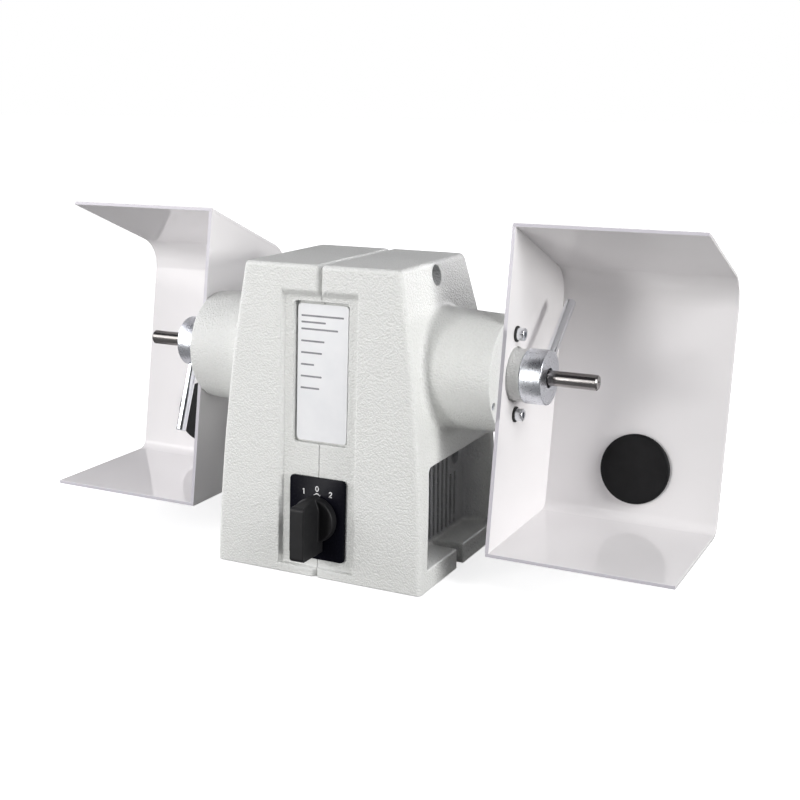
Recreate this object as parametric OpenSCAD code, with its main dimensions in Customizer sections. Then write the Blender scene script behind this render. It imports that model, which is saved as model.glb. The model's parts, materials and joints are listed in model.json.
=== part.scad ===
// Double-ended bench polishing motor with two open splash guards.
// Frame: origin on the base plane straight below the middle of the shaft,
// X along the shaft to the right, Y to the back, Z up.

/* [Housing] */
// Height of the housing
body_h = 250; // [245:1:255]
// Width across the foot
foot_w = 188; // [184:1:192]
// Width across the top
top_w = 138; // [134:1:142]
// How far the sides bow out of a straight line at half height
side_bow = 4.8; // [3:0.1:6]
// Front face ahead of the shaft at the base
front_base = 76.3; // [75:0.1:78]
// Front face ahead of the shaft at the top
front_top = 61.2; // [60:0.1:62]
// Rear face behind the shaft below the knee
rear_base = 83.5; // [82:0.5:86]
// Rear face behind the shaft at the top
rear_top = 61; // [58:0.5:64]
// Height of the knee in the rear face
rear_knee_h = 165; // [150:1:170]
// Wall thickness of the castings
wall = 5; // [4.5:0.5:5.5]
// Depth of the chamfer along the split line
split_chamfer = 4.5; // [4.3:0.1:5]

/* [Side pockets] */
// Inner wall of the pocket, from the split plane
pocket_x = 69; // [68:0.5:70]
// Top of the pocket opening
pocket_top = 96; // [92:1:98]
// Thickness of the mounting foot
foot_t = 17; // [14:1:20]
// Width of the open slot for the mounting bolt
foot_slot_w = 12; // [10:0.5:14]
// Width of each ventilation slot
vent_w = 4.2; // [3:0.1:5]
// Distance between ventilation slots
vent_pitch = 8.3; // [8:0.1:9]

/* [Front panel] */
// Half width of the recessed panel
panel_half_w = 34.5; // [32:0.5:36]
// Lower edge of the recessed panel
panel_low = 7; // [5:1:10]
// Upper edge of the recessed panel
panel_high = 230; // [226:1:234]
// Depth of the recessed panel
panel_depth = 4; // [3.5:0.1:4]
// Width of the data plate
plate_w = 45; // [43:0.5:47]
// Height of the data plate
plate_h = 109; // [105:1:110]
// Lower edge of the data plate
plate_low = 110.5; // [110:0.5:112]
// Gap around the data plate in its window
plate_gap = 2; // [1:0.5:2.5]
// How far the data plate lies below the floor of the panel
plate_depth = 2.6; // [1:0.1:2.8]

/* [Switch] */
// Width of the switch plate
switch_w = 50; // [46:1:54]
// Height of the switch plate
switch_h = 67; // [62:1:70]
// Height of the knob axis up the front face
switch_mid = 48.5; // [47:0.5:50]
// Radius of the knob's round base
knob_r = 18.5; // [17:0.5:20]
// How far the knob stands out of its plate
knob_out = 31; // [28:1:34]

/* [Shaft and necks] */
// Height of the shaft axis
shaft_h = 166; // [164:1:168]
// Radius of the two free shaft ends
spindle_r = 6; // [5:0.5:6]
// Reach of each shaft end from the split plane
spindle_reach = 206; // [200:1:210]
// Outer radius of a neck at its end
neck_r = 45.9; // [45:0.1:47]
// Reach of each neck, end cover included
neck_reach = 136; // [134:1:138]

/* [Ejectors] */
// Outer radius of the threaded boss on an end cover
boss_r = 20.5; // [19:0.5:21]
// Outer radius of an ejector collar
collar_r = 21.5; // [21:0.5:24]
// Radius of an ejector lever
lever_r = 4.2; // [3.5:0.1:4.5]
// Reach of a lever from the shaft axis
lever_reach = 80; // [60:1:85]
// Angle of the right lever, up from straight back
right_lever_angle = 38; // [30:1:60]
// Angle of the left lever, down from straight back
left_lever_angle = -112; // [-120:1:-90]

/* [Guards] */
// Sheet thickness of the guards
sheet = 3; // [2.5:0.5:3]
// Outer end of each guard from the split plane
guard_end = 284.5; // [270:0.5:290]
// Outer radius of the guard's upper bend
bend_top_r = 30; // [20:1:35]
// Outer radius of the guard's lower bend
bend_low_r = 12; // [8:1:14]
// Distance of an extraction port from the split plane
port_x = 214; // [205:1:220]
// Height of an extraction port
port_h = 76.5; // [75:0.5:80]
// Radius of an extraction plug's rim
plug_r = 29.35; // [28:0.05:30]

/* [Hidden] */
$fn = 48;
eps = 1;        // how far a cut runs past the surface that it opens

// Colours
paint = [0.80, 0.81, 0.79];
guard_white = [0.93, 0.92, 0.93];
steel = [0.62, 0.62, 0.64];
zinc = [0.78, 0.79, 0.81];
black = [0.06, 0.06, 0.07];
copper = [0.72, 0.40, 0.20];
white = [0.96, 0.96, 0.95];

// Housing
front_tilt = atan((front_base - front_top) / body_h);
far = 400;              // longer than anything that a cut passes through
chamfer_step = 0.4;
low_wall_x = pocket_x - wall;
cavity_shelf_h = pocket_top + wall;
pad_half_w = 40;        // thick pad behind the recessed panel
pad_t = 10;
plate_t = 1.2;           // thickness of the data plate
side_steps = 6;          // flats that make up each bowed side
pocket_rear_in = 61;    // rear wall of the pocket, at its inner end
pocket_rear_out = 73.5; // and at the opening
pocket_front_low = -62.4;
pocket_front_high = -50;
vent_low = 22;
vent_high = 92;
vent_under_bolt = 64;
vent_first_y = -48;
vent_count = 12;

// Tie bolts: [Y, Z, radius of the counterbore]
tie_points = [[0, 239, 8], [44, 80, 7], [-44, 80, 7]];
tie_boss_r = 10.5;
tie_seat_x = 52;
tie_r = 4;
tie_head_r = 6.5;
tie_head_l = 8;
tie_nut_r = 6.7;
tie_nut_l = 6.5;

// Base plate
base_t = 3;
base_gap = 0.5;
base_points = [[58, -65], [58, 72]];
base_boss_r = 7;
base_boss_h = 30;

// Switch, measured out of the front face
knob_lift = 2.8 - panel_depth;
knob_base_t = 8;
spindle_w = 5;
spindle_in = 6;
switch_body_w = 42;
switch_layer_t = 10;
switch_screw_x = 15;

// Electrical parts inside
gland_x = 32;
gland_z = 34;
gland_hole_r = 8;
gland_flange_t = 5;
cable_r = 4;
capacitor_r = 20;
capacitor_y = 44;
capacitor_z = 32;
earth_at = [48, 20];
sleeve_r = 2.2;

// Motor
stack_half = 25;
stator_r = 55;
stator_bore_r = 30;
rotor_r = 29.6;
seat_in = 15;
seat_out = 30;
winding_in_r = 34;
winding_out_r = 49;
winding_end = 38;
slot_count = 24;
slot_at_r = 41;
slot_r = 2.6;
core_shaft_r = 9;
end_ring_t = 6;
fan_x = 46;
fan_r = 38;
fan_blades = 9;

// Necks and bearings
neck_root_x = 60;
neck_root_r = 49.4;
neck_bore_r = 41;
cover_x = neck_reach - 6;
web_x = 106;
bearing_x = 112;
bearing_w = 11;
hub_r = 24;
outer_race_r = 17.5;
outer_land_r = 14.4;
inner_race_r = 7.5;
inner_land_r = 10.6;
ball_r = 3.6;
ball_pitch_r = 12.5;
ball_count = 8;
running_gap = 0.05;
cage_half_t = 1.6;
cage_half_w = 5.1;
spring_t = 1;
spigot_in_r = 14;
cover_screw_at_r = 41;
cover_screw_angles = [86.6, 206.6, 326.6];
guard_screw_at = 32;

// Ejectors
boss_end = neck_reach + 13;
thread_r = 15.9;
thread_end = boss_end + 8;
cover_bore_r = 9;
seal_x = 140;
seal_w = 6;
collar_x = boss_end + 0.4;
collar_end = 167;
collar_web_x = 161;
collar_bore_r = 7.75;
washer_w = 2;
lever_x = 160.5;
lever_seat_r = 17;

// Guards: [Y, Z] of the sheet's outer corners
guard_top_front = [-5.7, 283.8];
guard_top_back = [114.3, 233.5];
guard_low_back = [78.5, 31.5];
guard_low_front = [-49.4, 31.5];
cheek_hole_r = 22;
bend_steps = 12;
back_run = guard_top_back - guard_low_back;
back_tilt = atan(back_run[0] / back_run[1]);
port_y = guard_low_back[0] + back_run[0] * (port_h - guard_low_back[1]) / back_run[1];
port_r = 26;

// Half width and front of the housing at a height
function half_w(z) = (foot_w + (top_w - foot_w) * z / body_h) / 2
    + 4 * side_bow * z * (body_h - z) / (body_h * body_h);
function front_y(z) = -front_base + (front_base - front_top) * z / body_h;
function rear_y(z) = rear_base - (rear_base - rear_top) * max(0, z - rear_knee_h)
    / (body_h - rear_knee_h);

// A sheet corner rounded to radius r about the centre of its bend
function unit(v) = v / norm(v);
function bend(a, corner, b, r, inset) =
    let (
        u = unit(a - corner),
        v = unit(b - corner),
        half = acos(u * v) / 2,
        mid = corner + unit(u + v) * r / sin(half),
        start = corner + u * r / tan(half) - mid,
        from = atan2(start[1], start[0]),
        turn = cross(u, v) > 0 ? -1 : 1
    )
    [for (i = [0 : bend_steps])
        let (angle = from + turn * (180 - 2 * half) * i / bend_steps)
        mid + (r - inset) * [cos(angle), sin(angle)]];

// The guard's section, from the top lip round the back to the bottom lip
function guard_path(inset) =
    let (
        top_run = unit(guard_top_back - guard_top_front),
        low_run = unit(guard_low_front - guard_low_back)
    )
    concat(
        [guard_top_front + inset * [top_run[1], -top_run[0]]],
        bend(guard_top_front, guard_top_back, guard_low_back, bend_top_r, inset),
        bend(guard_top_back, guard_low_back, guard_low_front, bend_low_r, inset),
        [guard_low_front + inset * [low_run[1], -low_run[0]]]);

function reversed(list) = [for (i = [len(list) - 1 : -1 : 0]) list[i]];

// Places a right-hand shape on the right (side 1) or, mirrored, on the left (side -1)
module on_side(side) {
    if (side > 0)
        children();
    else
        mirror([1, 0, 0]) children();
}

// A cylinder or cone along X
module x_rod(r, from, to, r_end = -1) {
    translate([from, 0, 0]) rotate([0, 90, 0])
        cylinder(r1 = r, r2 = r_end < 0 ? r : r_end, h = to - from);
}

module x_tube(r, r_in, from, to) {
    difference() {
        x_rod(r, from, to);
        x_rod(r_in, from - eps, to + eps);
    }
}

// Children drawn in the YZ plane become a bar along X
module along_x(from, to) {
    translate([from, 0, 0]) rotate([90, 0, 90]) linear_extrude(to - from) children();
}

// Children are measured from the middle of the shaft
module on_shaft() {
    translate([0, 0, shaft_h]) children();
}

// Children stand on the front face: x across, y up the slope, z out of it
module on_front() {
    translate([0, -front_base, 0]) rotate([90 - front_tilt, 0, 0]) children();
}

// Children stand on the inside of a guard's back panel at its port, z into the guard
module on_port() {
    translate([port_x, port_y, port_h]) rotate([90 - back_tilt, 0, 0])
        translate([0, 0, sheet]) children();
}

module rounded_plate(w, h, t, r = 3) {
    for (x = [-w / 2 + r, w / 2 - r], y = [-h / 2 + r, h / 2 - r])
        translate([x, y, 0]) cylinder(r = r, h = t);
    translate([-w / 2 + r, -h / 2, 0]) cube([w - 2 * r, h, t]);
    translate([-w / 2, -h / 2 + r, 0]) cube([w, h - 2 * r, t]);
}

// Socket-head cap screw along X, head outwards, its seat at X
module cap_screw(seat, r, length, head_r, head_l) {
    difference() {
        union() {
            x_rod(r, seat - length, seat + head_l / 2);
            x_rod(head_r, seat, seat + head_l);
        }
        translate([seat + head_l / 2, 0, 0]) rotate([0, 90, 0])
            cylinder(r = head_r / 2, h = head_l, $fn = 6);
    }
}

// One half of the tapered box, drawn in by inset on every wall but the bottom
module half_box(inset, from_x = 0, from_z = 0) {
    z_top = body_h - inset;
    side = [for (i = [0 : side_steps])
        let (z = from_z + (z_top - from_z) * i / side_steps) [half_w(z) - inset, z]];
    intersection() {
        translate([0, far / 2, 0]) rotate([90, 0, 0]) linear_extrude(far)
            polygon(concat([[from_x, from_z]], side, [[from_x, z_top]]));
        along_x(from_x, far)
            polygon([[front_y(from_z) + inset, from_z], [rear_base - inset, from_z],
                [rear_base - inset, rear_knee_h], [rear_y(z_top) - inset, z_top],
                [front_y(z_top) + inset, z_top]]);
    }
}

// Room inside a casting, narrower beside the pocket
module half_cavity() {
    difference() {
        half_box(wall, -eps, -eps);
        translate([low_wall_x, -far / 2, -2 * eps]) cube([far, far, cavity_shelf_h + 2 * eps]);
    }
}

// Chamfer round the outline at the split plane. Neighbours differ a little in depth, so that no
// two of them and the faces beside them meet in one point.
module split_chamfers() {
    corners = [[front_y(0), 0], [front_y(body_h), body_h], [rear_top, body_h],
        [rear_base, rear_knee_h], [rear_base, 0]];
    for (i = [0 : len(corners) - 2]) {
        run = corners[i + 1] - corners[i];
        edge = (split_chamfer + chamfer_step * (i % 2)) * sqrt(2);
        translate([0, corners[i][0], corners[i][1]]) rotate([atan2(run[1], run[0]), 0, 0])
            rotate([0, 45, 0]) translate([-edge / 2, -edge, -edge / 2])
                cube([edge, norm(run) + 2 * edge, edge]);
    }
}

module side_pocket() {
    intersection() {
        along_x(pocket_x, far)
            polygon([[pocket_front_low, foot_t], [pocket_rear_out, foot_t],
                [pocket_rear_out, pocket_top], [pocket_front_high, pocket_top]]);
        linear_extrude(body_h)
            polygon([[pocket_x, -far], [far, -far], [far, pocket_rear_out],
                [foot_w / 2, pocket_rear_out], [pocket_x, pocket_rear_in]]);
    }
}

module vent_slots() {
    for (i = [0 : vent_count - 1]) {
        y = vent_first_y + i * vent_pitch;
        top = min([for (p = [tie_points[1], tie_points[2]])
            abs(p[0] - y) < tie_boss_r + vent_w / 2 + 1 ? vent_under_bolt : vent_high]);
        translate([low_wall_x - eps, y - vent_w / 2, vent_low])
            cube([wall + 2 * eps, vent_w, top - vent_low]);
        for (z = [vent_low, top])
            translate([0, y, z]) x_rod(vent_w / 2, low_wall_x - eps, pocket_x + eps);
    }
}

// Wall across the housing that holds one end of the stator
module stator_seat() {
    intersection() {
        half_box(wall - 0.5);
        difference() {
            translate([seat_in, -far / 2, cavity_shelf_h - wall])
                cube([seat_out - seat_in, far, far]);
            on_shaft() x_rod(stator_r, 0, stack_half);
            on_shaft() x_rod(stator_r - wall, 0, far);
        }
    }
}

module housing_half() {
    difference() {
        union() {
            difference() {
                union() {
                    half_box(0);
                    on_shaft() {
                        x_rod(neck_root_r, neck_root_x, cover_x, neck_r + 0.2);
                        x_rod(neck_root_r + 6, 74, 92, neck_root_r - 1);
                    }
                }
                half_cavity();
                on_shaft() {
                    x_rod(neck_bore_r, neck_root_x, web_x);
                    x_rod(neck_bore_r, bearing_x, cover_x + eps);
                }
            }
            on_shaft() {
                x_rod(hub_r, web_x, cover_x);
                for (angle = cover_screw_angles) rotate([angle, 0, 0])
                    translate([0, cover_screw_at_r - 1, 0]) x_rod(4.5, bearing_x, cover_x);
            }
            stator_seat();
            on_front() translate([0, panel_low - 2, -pad_t])
                cube([pad_half_w, panel_high - panel_low + 4, pad_t - 1]);
            intersection() {
                half_box(1);
                for (p = tie_points) translate([0, p[0], p[1]]) x_rod(tie_boss_r, 0, pocket_x - 1);
            }
            for (p = base_points) translate([p[0], p[1], base_t])
                cylinder(r = base_boss_r, h = base_boss_h - base_t);
        }
        side_pocket();
        vent_slots();
        split_chamfers();
        foot_slot();
        on_shaft() {
            x_rod(outer_race_r, bearing_x, cover_x + eps);
            x_rod(spigot_in_r, web_x - eps, bearing_x + eps);
            for (angle = cover_screw_angles) rotate([angle, 0, 0])
                translate([0, cover_screw_at_r, 0]) x_rod(1.5, cover_x - 14, cover_x + eps);
        }
        for (p = tie_points) translate([0, p[0], p[1]]) {
            x_rod(tie_r + 0.5, -eps, tie_seat_x + eps);
            x_rod(p[2], tie_seat_x, far);
        }
        for (p = base_points) translate([p[0], p[1], -eps]) cylinder(r = 2, h = 24);
        on_front() {
            translate([-eps, panel_low, -panel_depth])
                cube([panel_half_w + eps, panel_high - panel_low, far]);
            translate([-eps, plate_low - plate_gap, -pad_t + 1])
                cube([plate_w / 2 + plate_gap + eps, plate_h + 2 * plate_gap, pad_t]);
            translate([0, switch_mid, -pad_t - eps]) {
                cylinder(r = 9, h = pad_t);
                translate([switch_screw_x, 0, 0]) cylinder(r = 2.2, h = pad_t);
            }
        }
    }
}

// Open slot in the mounting foot, with a round inner end
module foot_slot() {
    slot_r = foot_slot_w / 2;
    translate([pocket_x + slot_r, 0, -eps]) {
        cylinder(r = slot_r, h = foot_t + 2 * eps);
        translate([0, -slot_r, 0]) cube([far, foot_slot_w, foot_t + 2 * eps]);
    }
}

// Children stand on the rear face at the cable inlet, z straight out of it
module on_gland() {
    translate([-gland_x, rear_base, gland_z]) rotate([-90, 0, 0]) children();
}

module right_housing() {
    color(paint) housing_half();
}

module left_housing() {
    color(paint) difference() {
        on_side(-1) housing_half();
        on_gland() translate([0, 0, -2 * wall]) cylinder(r = gland_hole_r, h = 3 * wall);
    }
}

module base_plate() {
    half = low_wall_x - base_gap;
    front = front_y(base_t) + wall + base_gap;
    color(steel) difference() {
        translate([-half, front, 0]) cube([2 * half, rear_base - wall - base_gap - front, base_t]);
        for (side = [-1, 1], p = base_points) translate([side * p[0], p[1], 0]) {
            translate([0, 0, -eps]) cylinder(r = 2.2, h = base_t + 2 * eps);
            cylinder(r1 = 4, r2 = 2.2, h = 1.8);
        }
        translate([earth_at[0], earth_at[1], -eps]) cylinder(r = 2, h = base_t + 2 * eps);
    }
}

module base_screws() {
    color(zinc) for (side = [-1, 1], p = base_points) translate([side * p[0], p[1], 0]) difference() {
        union() {
            cylinder(r1 = 3.9, r2 = 1.95, h = 1.9);
            cylinder(r = 1.95, h = 20);
        }
        translate([0, 0, -eps]) cylinder(r = 1.2, h = eps + 1.2, $fn = 6);
    }
}

module tie_bolts() {
    color(zinc) for (p = tie_points) translate([0, p[0], p[1]])
        cap_screw(tie_seat_x, tie_r, 2 * tie_seat_x + tie_nut_l, tie_head_r, tie_head_l);
}

module tie_nuts() {
    color(zinc) for (p = tie_points) translate([-tie_seat_x - tie_nut_l, p[0], p[1]])
        rotate([0, 90, 0]) difference() {
            cylinder(r = tie_nut_r, h = tie_nut_l, $fn = 6);
            translate([0, 0, -eps]) cylinder(r = tie_r, h = tie_nut_l + 2 * eps);
        }
}

module data_plate() {
    color(white) on_front()
        translate([0, plate_low + plate_h / 2, -panel_depth - plate_depth - plate_t])
            rounded_plate(plate_w, plate_h, plate_t);
}

module plate_carrier() {
    color(black) on_front() translate([0, plate_low + plate_h / 2, -pad_t + 1])
        rounded_plate(plate_w - 3, plate_h - 3, pad_t - 1 - panel_depth - plate_depth - plate_t);
}

module switch_plate() {
    color(black) on_front() translate([0, switch_mid, -panel_depth]) difference() {
        rounded_plate(switch_w, switch_h, 2.5);
        translate([0, 0, -eps]) cylinder(r = 6, h = 5);
        for (x = [-switch_screw_x, switch_screw_x])
            translate([x, 0, -eps]) cylinder(r = 2.2, h = eps + 1.5);
    }
}

// Contact block of four stacked chambers, every second one a little smaller
module switch_body() {
    color(black) on_front() translate([0, switch_mid, -pad_t]) difference() {
        for (layer = [0 : 3]) {
            w = switch_body_w - 2 * (layer % 2);
            translate([-w / 2, -w / 2, -switch_layer_t * (layer + 1)]) cube([w, w, switch_layer_t]);
        }
        translate([0, 0, -8]) cylinder(r = 4, h = 8 + eps);
        for (x = [-switch_screw_x, switch_screw_x])
            translate([x, 0, -12]) cylinder(r = 1.8, h = 12 + eps);
    }
}

module switch_screws() {
    color(zinc) on_front() for (x = [-switch_screw_x, switch_screw_x])
        translate([x, switch_mid, -pad_t - 11]) cylinder(r = 1.75, h = 17.4);
}

module switch_knob() {
    grip_w = knob_r / 1.5;
    color(black) on_front() translate([0, switch_mid, knob_lift]) difference() {
        union() {
            cylinder(r = knob_r, h = knob_base_t);
            translate([-grip_w / 2, 0, 0]) rotate([90, 0, 90]) linear_extrude(grip_w)
                polygon([[-20, 1], [20, 1], [16, knob_out - 2], [14, knob_out],
                    [-26, knob_out], [-28, knob_out - 2], [-27, knob_base_t + 1]]);
        }
        translate([-spindle_w / 2, -spindle_w / 2, -eps]) cube([spindle_w, spindle_w, eps + spindle_in]);
    }
}

module switch_spindle() {
    low = -pad_t - spindle_in;
    color(steel) on_front() translate([-spindle_w / 2, switch_mid - spindle_w / 2, low])
        cube([spindle_w, spindle_w, knob_lift + spindle_in - low]);
}

module end_cover(spigot_x) {
    color(paint) difference() {
        on_shaft() {
            x_rod(neck_r + 0.2, cover_x, neck_reach, neck_r);
            x_rod(outer_race_r - running_gap, spigot_x, cover_x + eps);
            x_rod(boss_r, cover_x, boss_end);
            x_rod(thread_r, cover_x, thread_end);
        }
        on_shaft() {
            x_rod(spigot_in_r, spigot_x - eps, cover_x);
            x_rod(cover_bore_r, cover_x - eps, thread_end + eps);
            for (z = [-guard_screw_at, guard_screw_at])
                translate([0, 0, z]) x_rod(3, cover_x - eps, neck_reach + eps);
            for (angle = cover_screw_angles) rotate([angle, 0, 0]) translate([0, cover_screw_at_r, 0]) {
                x_rod(1.7, cover_x - eps, neck_reach);
                x_rod(3.1, cover_x + 3, neck_reach + eps);
            }
        }
    }
}

module cover_screws() {
    color(zinc) on_shaft() for (angle = cover_screw_angles) rotate([angle, 0, 0])
        translate([0, cover_screw_at_r, 0]) cap_screw(cover_x + 3, 1.45, 15, 2.75, 2.2);
}

module shaft_seal() {
    color(black) on_shaft() x_tube(cover_bore_r, spindle_r + running_gap, seal_x, seal_x + seal_w);
}

module outer_race() {
    color(steel) on_shaft() difference() {
        x_tube(outer_race_r, outer_land_r, bearing_x, bearing_x + bearing_w);
        race_groove();
    }
}

module inner_race() {
    color(steel) on_shaft() difference() {
        x_tube(inner_land_r, inner_race_r, bearing_x, bearing_x + bearing_w);
        race_groove();
    }
}

module race_groove() {
    translate([bearing_x + bearing_w / 2, 0, 0]) rotate([0, 90, 0]) rotate_extrude()
        translate([ball_pitch_r, 0]) circle(r = ball_r + running_gap);
}

module bearing_balls() {
    color(zinc) on_shaft() for (i = [0 : ball_count - 1]) rotate([i * 360 / ball_count, 0, 0])
        translate([bearing_x + bearing_w / 2, ball_pitch_r, 0]) sphere(r = ball_r);
}

module ball_cage() {
    mid = bearing_x + bearing_w / 2;
    color(steel) on_shaft() difference() {
        x_tube(ball_pitch_r + cage_half_t, ball_pitch_r - cage_half_t,
            mid - cage_half_w, mid + cage_half_w);
        for (i = [0 : ball_count - 1]) rotate([i * 360 / ball_count, 0, 0])
            translate([mid, 0, 0]) rotate([-90, 0, 0]) cylinder(r = ball_r + running_gap, h = outer_land_r);
    }
}

module wave_spring() {
    from = bearing_x + bearing_w;
    color(steel) on_side(-1) on_shaft()
        x_tube(outer_race_r - 0.3, spigot_in_r + 0.3, from, from + spring_t);
}

// The steps of each half are [radius, from, to]
module rotor_shaft() {
    steps = [[core_shaft_r, 0, 100], [core_shaft_r - 0.5, 100, bearing_x],
        [inner_race_r, bearing_x, bearing_x + 14], [spindle_r, bearing_x + 14, collar_end - 0.8],
        [spindle_r - 0.4, collar_end - 0.8, collar_end], [spindle_r, collar_end, spindle_reach - 1]];
    color(steel) on_shaft() for (side = [-1, 1]) on_side(side) difference() {
        union() {
            for (s = steps) x_rod(s[0], s[1], s[2]);
            x_rod(spindle_r, spindle_reach - 1, spindle_reach, spindle_r - 1);
        }
        x_rod(0.2, spindle_reach - 3, spindle_reach + 0.01, 1.8);
    }
}

module rotor_core() {
    color(steel) on_shaft() x_tube(rotor_r, core_shaft_r, -stack_half, stack_half);
}

module rotor_end_rings() {
    color([0.8, 0.8, 0.82]) on_shaft() for (side = [-1, 1]) on_side(side)
        x_tube(rotor_r - 1, 15, stack_half, stack_half + end_ring_t);
}

module cooling_fan() {
    color(black) on_shaft() difference() {
        union() {
            x_rod(14, fan_x, fan_x + 14);
            x_rod(fan_r, fan_x, fan_x + 2);
            for (i = [0 : fan_blades - 1]) rotate([i * 360 / fan_blades, 0, 0])
                translate([fan_x, 13, -1]) cube([13, fan_r - 14.5, 2]);
        }
        x_rod(core_shaft_r, fan_x - eps, fan_x + 15);
    }
}

module winding_bars(r, reach) {
    for (i = [0 : slot_count - 1]) rotate([(i + 0.5) * 360 / slot_count, 0, 0])
        translate([0, slot_at_r, 0]) x_rod(r, -reach, reach);
}

module stator_core() {
    color(steel) on_shaft() difference() {
        x_tube(stator_r, stator_bore_r, -stack_half, stack_half);
        winding_bars(slot_r, stack_half + eps);
    }
}

module stator_winding() {
    color(copper) on_shaft() {
        winding_bars(slot_r - 0.1, winding_end - eps);
        for (side = [-1, 1]) on_side(side)
            x_tube(winding_out_r, winding_in_r, stack_half + 0.5, winding_end);
    }
}

module run_capacitor() {
    color([0.85, 0.86, 0.88]) translate([0, capacitor_y, capacitor_z]) {
        x_rod(capacitor_r, -35, 35);
        for (y = [-6, 6]) translate([35, y - 3, -0.5]) cube([9, 6, 1]);
    }
}

module capacitor_clamp() {
    color(zinc) difference() {
        union() {
            translate([0, capacitor_y, capacitor_z]) x_rod(capacitor_r + 1.5, -6, 6);
            translate([-6, capacitor_y - 14, base_t])
                cube([12, 28, capacitor_z - capacitor_r - base_t + 2]);
        }
        translate([0, capacitor_y, capacitor_z]) x_rod(capacitor_r, -7, 7);
    }
}

module terminal_block() {
    color(white) difference() {
        translate([-25, -8, base_t]) cube([50, 18, 16]);
        for (i = [-2 : 2]) translate([i * 9, 1, base_t + 10]) cylinder(r = 2.5, h = 8);
    }
}

module earth_stud() {
    color(copper) translate([earth_at[0], earth_at[1], 0]) {
        cylinder(r = 1.95, h = 14);
        translate([0, 0, base_t]) cylinder(r = 4, h = 3, $fn = 6);
    }
}

// Sleeved wires, square in section, through points that differ in one axis at a time
module sleeve(points) {
    for (i = [0 : len(points) - 2]) {
        low = [for (k = [0 : 2]) min(points[i][k], points[i + 1][k]) - sleeve_r];
        high = [for (k = [0 : 2]) max(points[i][k], points[i + 1][k]) + sleeve_r];
        translate(low) cube(high - low);
    }
}

module wiring_loom() {
    color(black) {
        sleeve([[-gland_x, 68, gland_z], [-46, 68, gland_z], [-46, 68, 12], [-46, 4, 12],
            [-27.4, 4, 12]]);
        sleeve([[-12, 0, 21.4], [-12, 0, 36], [-12, -21, 36]]);
        sleeve([[12, 4, 21.4], [12, 4, 62], [34.5, 4, 62], [34.5, 4, 114]]);
    }
}

module cable_gland() {
    color(black) on_gland() difference() {
        union() {
            translate([0, 0, -12]) cylinder(r = gland_hole_r - 0.1, h = 24);
            cylinder(r = 11, h = gland_flange_t, $fn = 6);
            translate([0, 0, -wall - 4]) cylinder(r = 11, h = 4, $fn = 6);
        }
        translate([0, 0, -14]) cylinder(r = cable_r, h = 40);
    }
}

module gland_nut() {
    color(black) on_gland() difference() {
        union() {
            translate([0, 0, gland_flange_t + 0.2]) cylinder(r = 10.5, h = 8, $fn = 6);
            translate([0, 0, gland_flange_t + 8.2]) cylinder(r1 = 8.8, r2 = 7, h = 6);
        }
        translate([0, 0, gland_flange_t]) cylinder(r = gland_hole_r, h = 7.2);
        translate([0, 0, gland_flange_t]) cylinder(r = cable_r + 0.5, h = 20);
    }
}

module guard_shell() {
    color(guard_white) difference() {
        along_x(neck_reach, guard_end) polygon(concat(guard_path(0), reversed(guard_path(sheet))));
        on_port() translate([0, 0, -2 * sheet]) cylinder(r = port_r, h = 3 * sheet);
    }
}

module guard_cheek() {
    color(guard_white) difference() {
        along_x(neck_reach, neck_reach + sheet) polygon(guard_path(sheet));
        on_shaft() {
            x_rod(cheek_hole_r, neck_reach - eps, neck_reach + sheet + eps);
            for (z = [-guard_screw_at, guard_screw_at])
                translate([0, 0, z]) x_rod(3.3, neck_reach - eps, neck_reach + sheet + eps);
        }
    }
}

module guard_screws() {
    color(zinc) on_shaft() for (z = [-guard_screw_at, guard_screw_at])
        translate([0, 0, z]) cap_screw(neck_reach + sheet + 1.2, 2.95, 14, 5, 6);
}

module guard_washers() {
    color(black) on_shaft() for (z = [-guard_screw_at, guard_screw_at])
        translate([0, 0, z]) x_tube(6, 3.1, neck_reach + sheet, neck_reach + sheet + 1.2);
}

module extraction_plug() {
    color(black) on_port() difference() {
        union() {
            cylinder(r = plug_r, h = 3);
            translate([0, 0, 3]) cylinder(r1 = plug_r, r2 = plug_r - 1.5, h = 1.5);
            translate([0, 0, -sheet - 5]) cylinder(r = port_r - 0.1, h = sheet + 5);
        }
        translate([0, 0, -sheet - 5 - eps]) cylinder(r = port_r - 2.5, h = sheet + 5 + eps);
    }
}

module ejector_collar(lever_angle) {
    color(zinc) on_shaft() difference() {
        union() {
            x_rod(collar_r - 0.6, collar_x, collar_x + 0.6, collar_r);
            x_rod(collar_r, collar_x + 0.6, collar_end - 0.6);
            x_rod(collar_r, collar_end - 0.6, collar_end, collar_r - 0.6);
        }
        x_rod(thread_r + running_gap, collar_x - eps, collar_web_x);
        x_rod(collar_bore_r, collar_web_x - eps, collar_end + eps);
        rotate([lever_angle, 0, 0]) translate([lever_x, lever_seat_r, 0]) rotate([-90, 0, 0])
            cylinder(r = lever_r + running_gap, h = collar_r);
    }
}

module ejector_lever(lever_angle) {
    color(zinc) on_shaft() rotate([lever_angle, 0, 0]) translate([lever_x, lever_seat_r, 0])
        rotate([-90, 0, 0]) {
            cylinder(r = lever_r, h = lever_reach - lever_seat_r - 0.6);
            translate([0, 0, lever_reach - lever_seat_r - 0.6])
                cylinder(r1 = lever_r, r2 = lever_r - 0.6, h = 0.6);
        }
}

module thrust_washer() {
    color(copper) on_shaft()
        x_tube(thread_r - 0.4, collar_bore_r + 0.25, collar_web_x - washer_w - 0.1, collar_web_x - 0.1);
}

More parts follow.
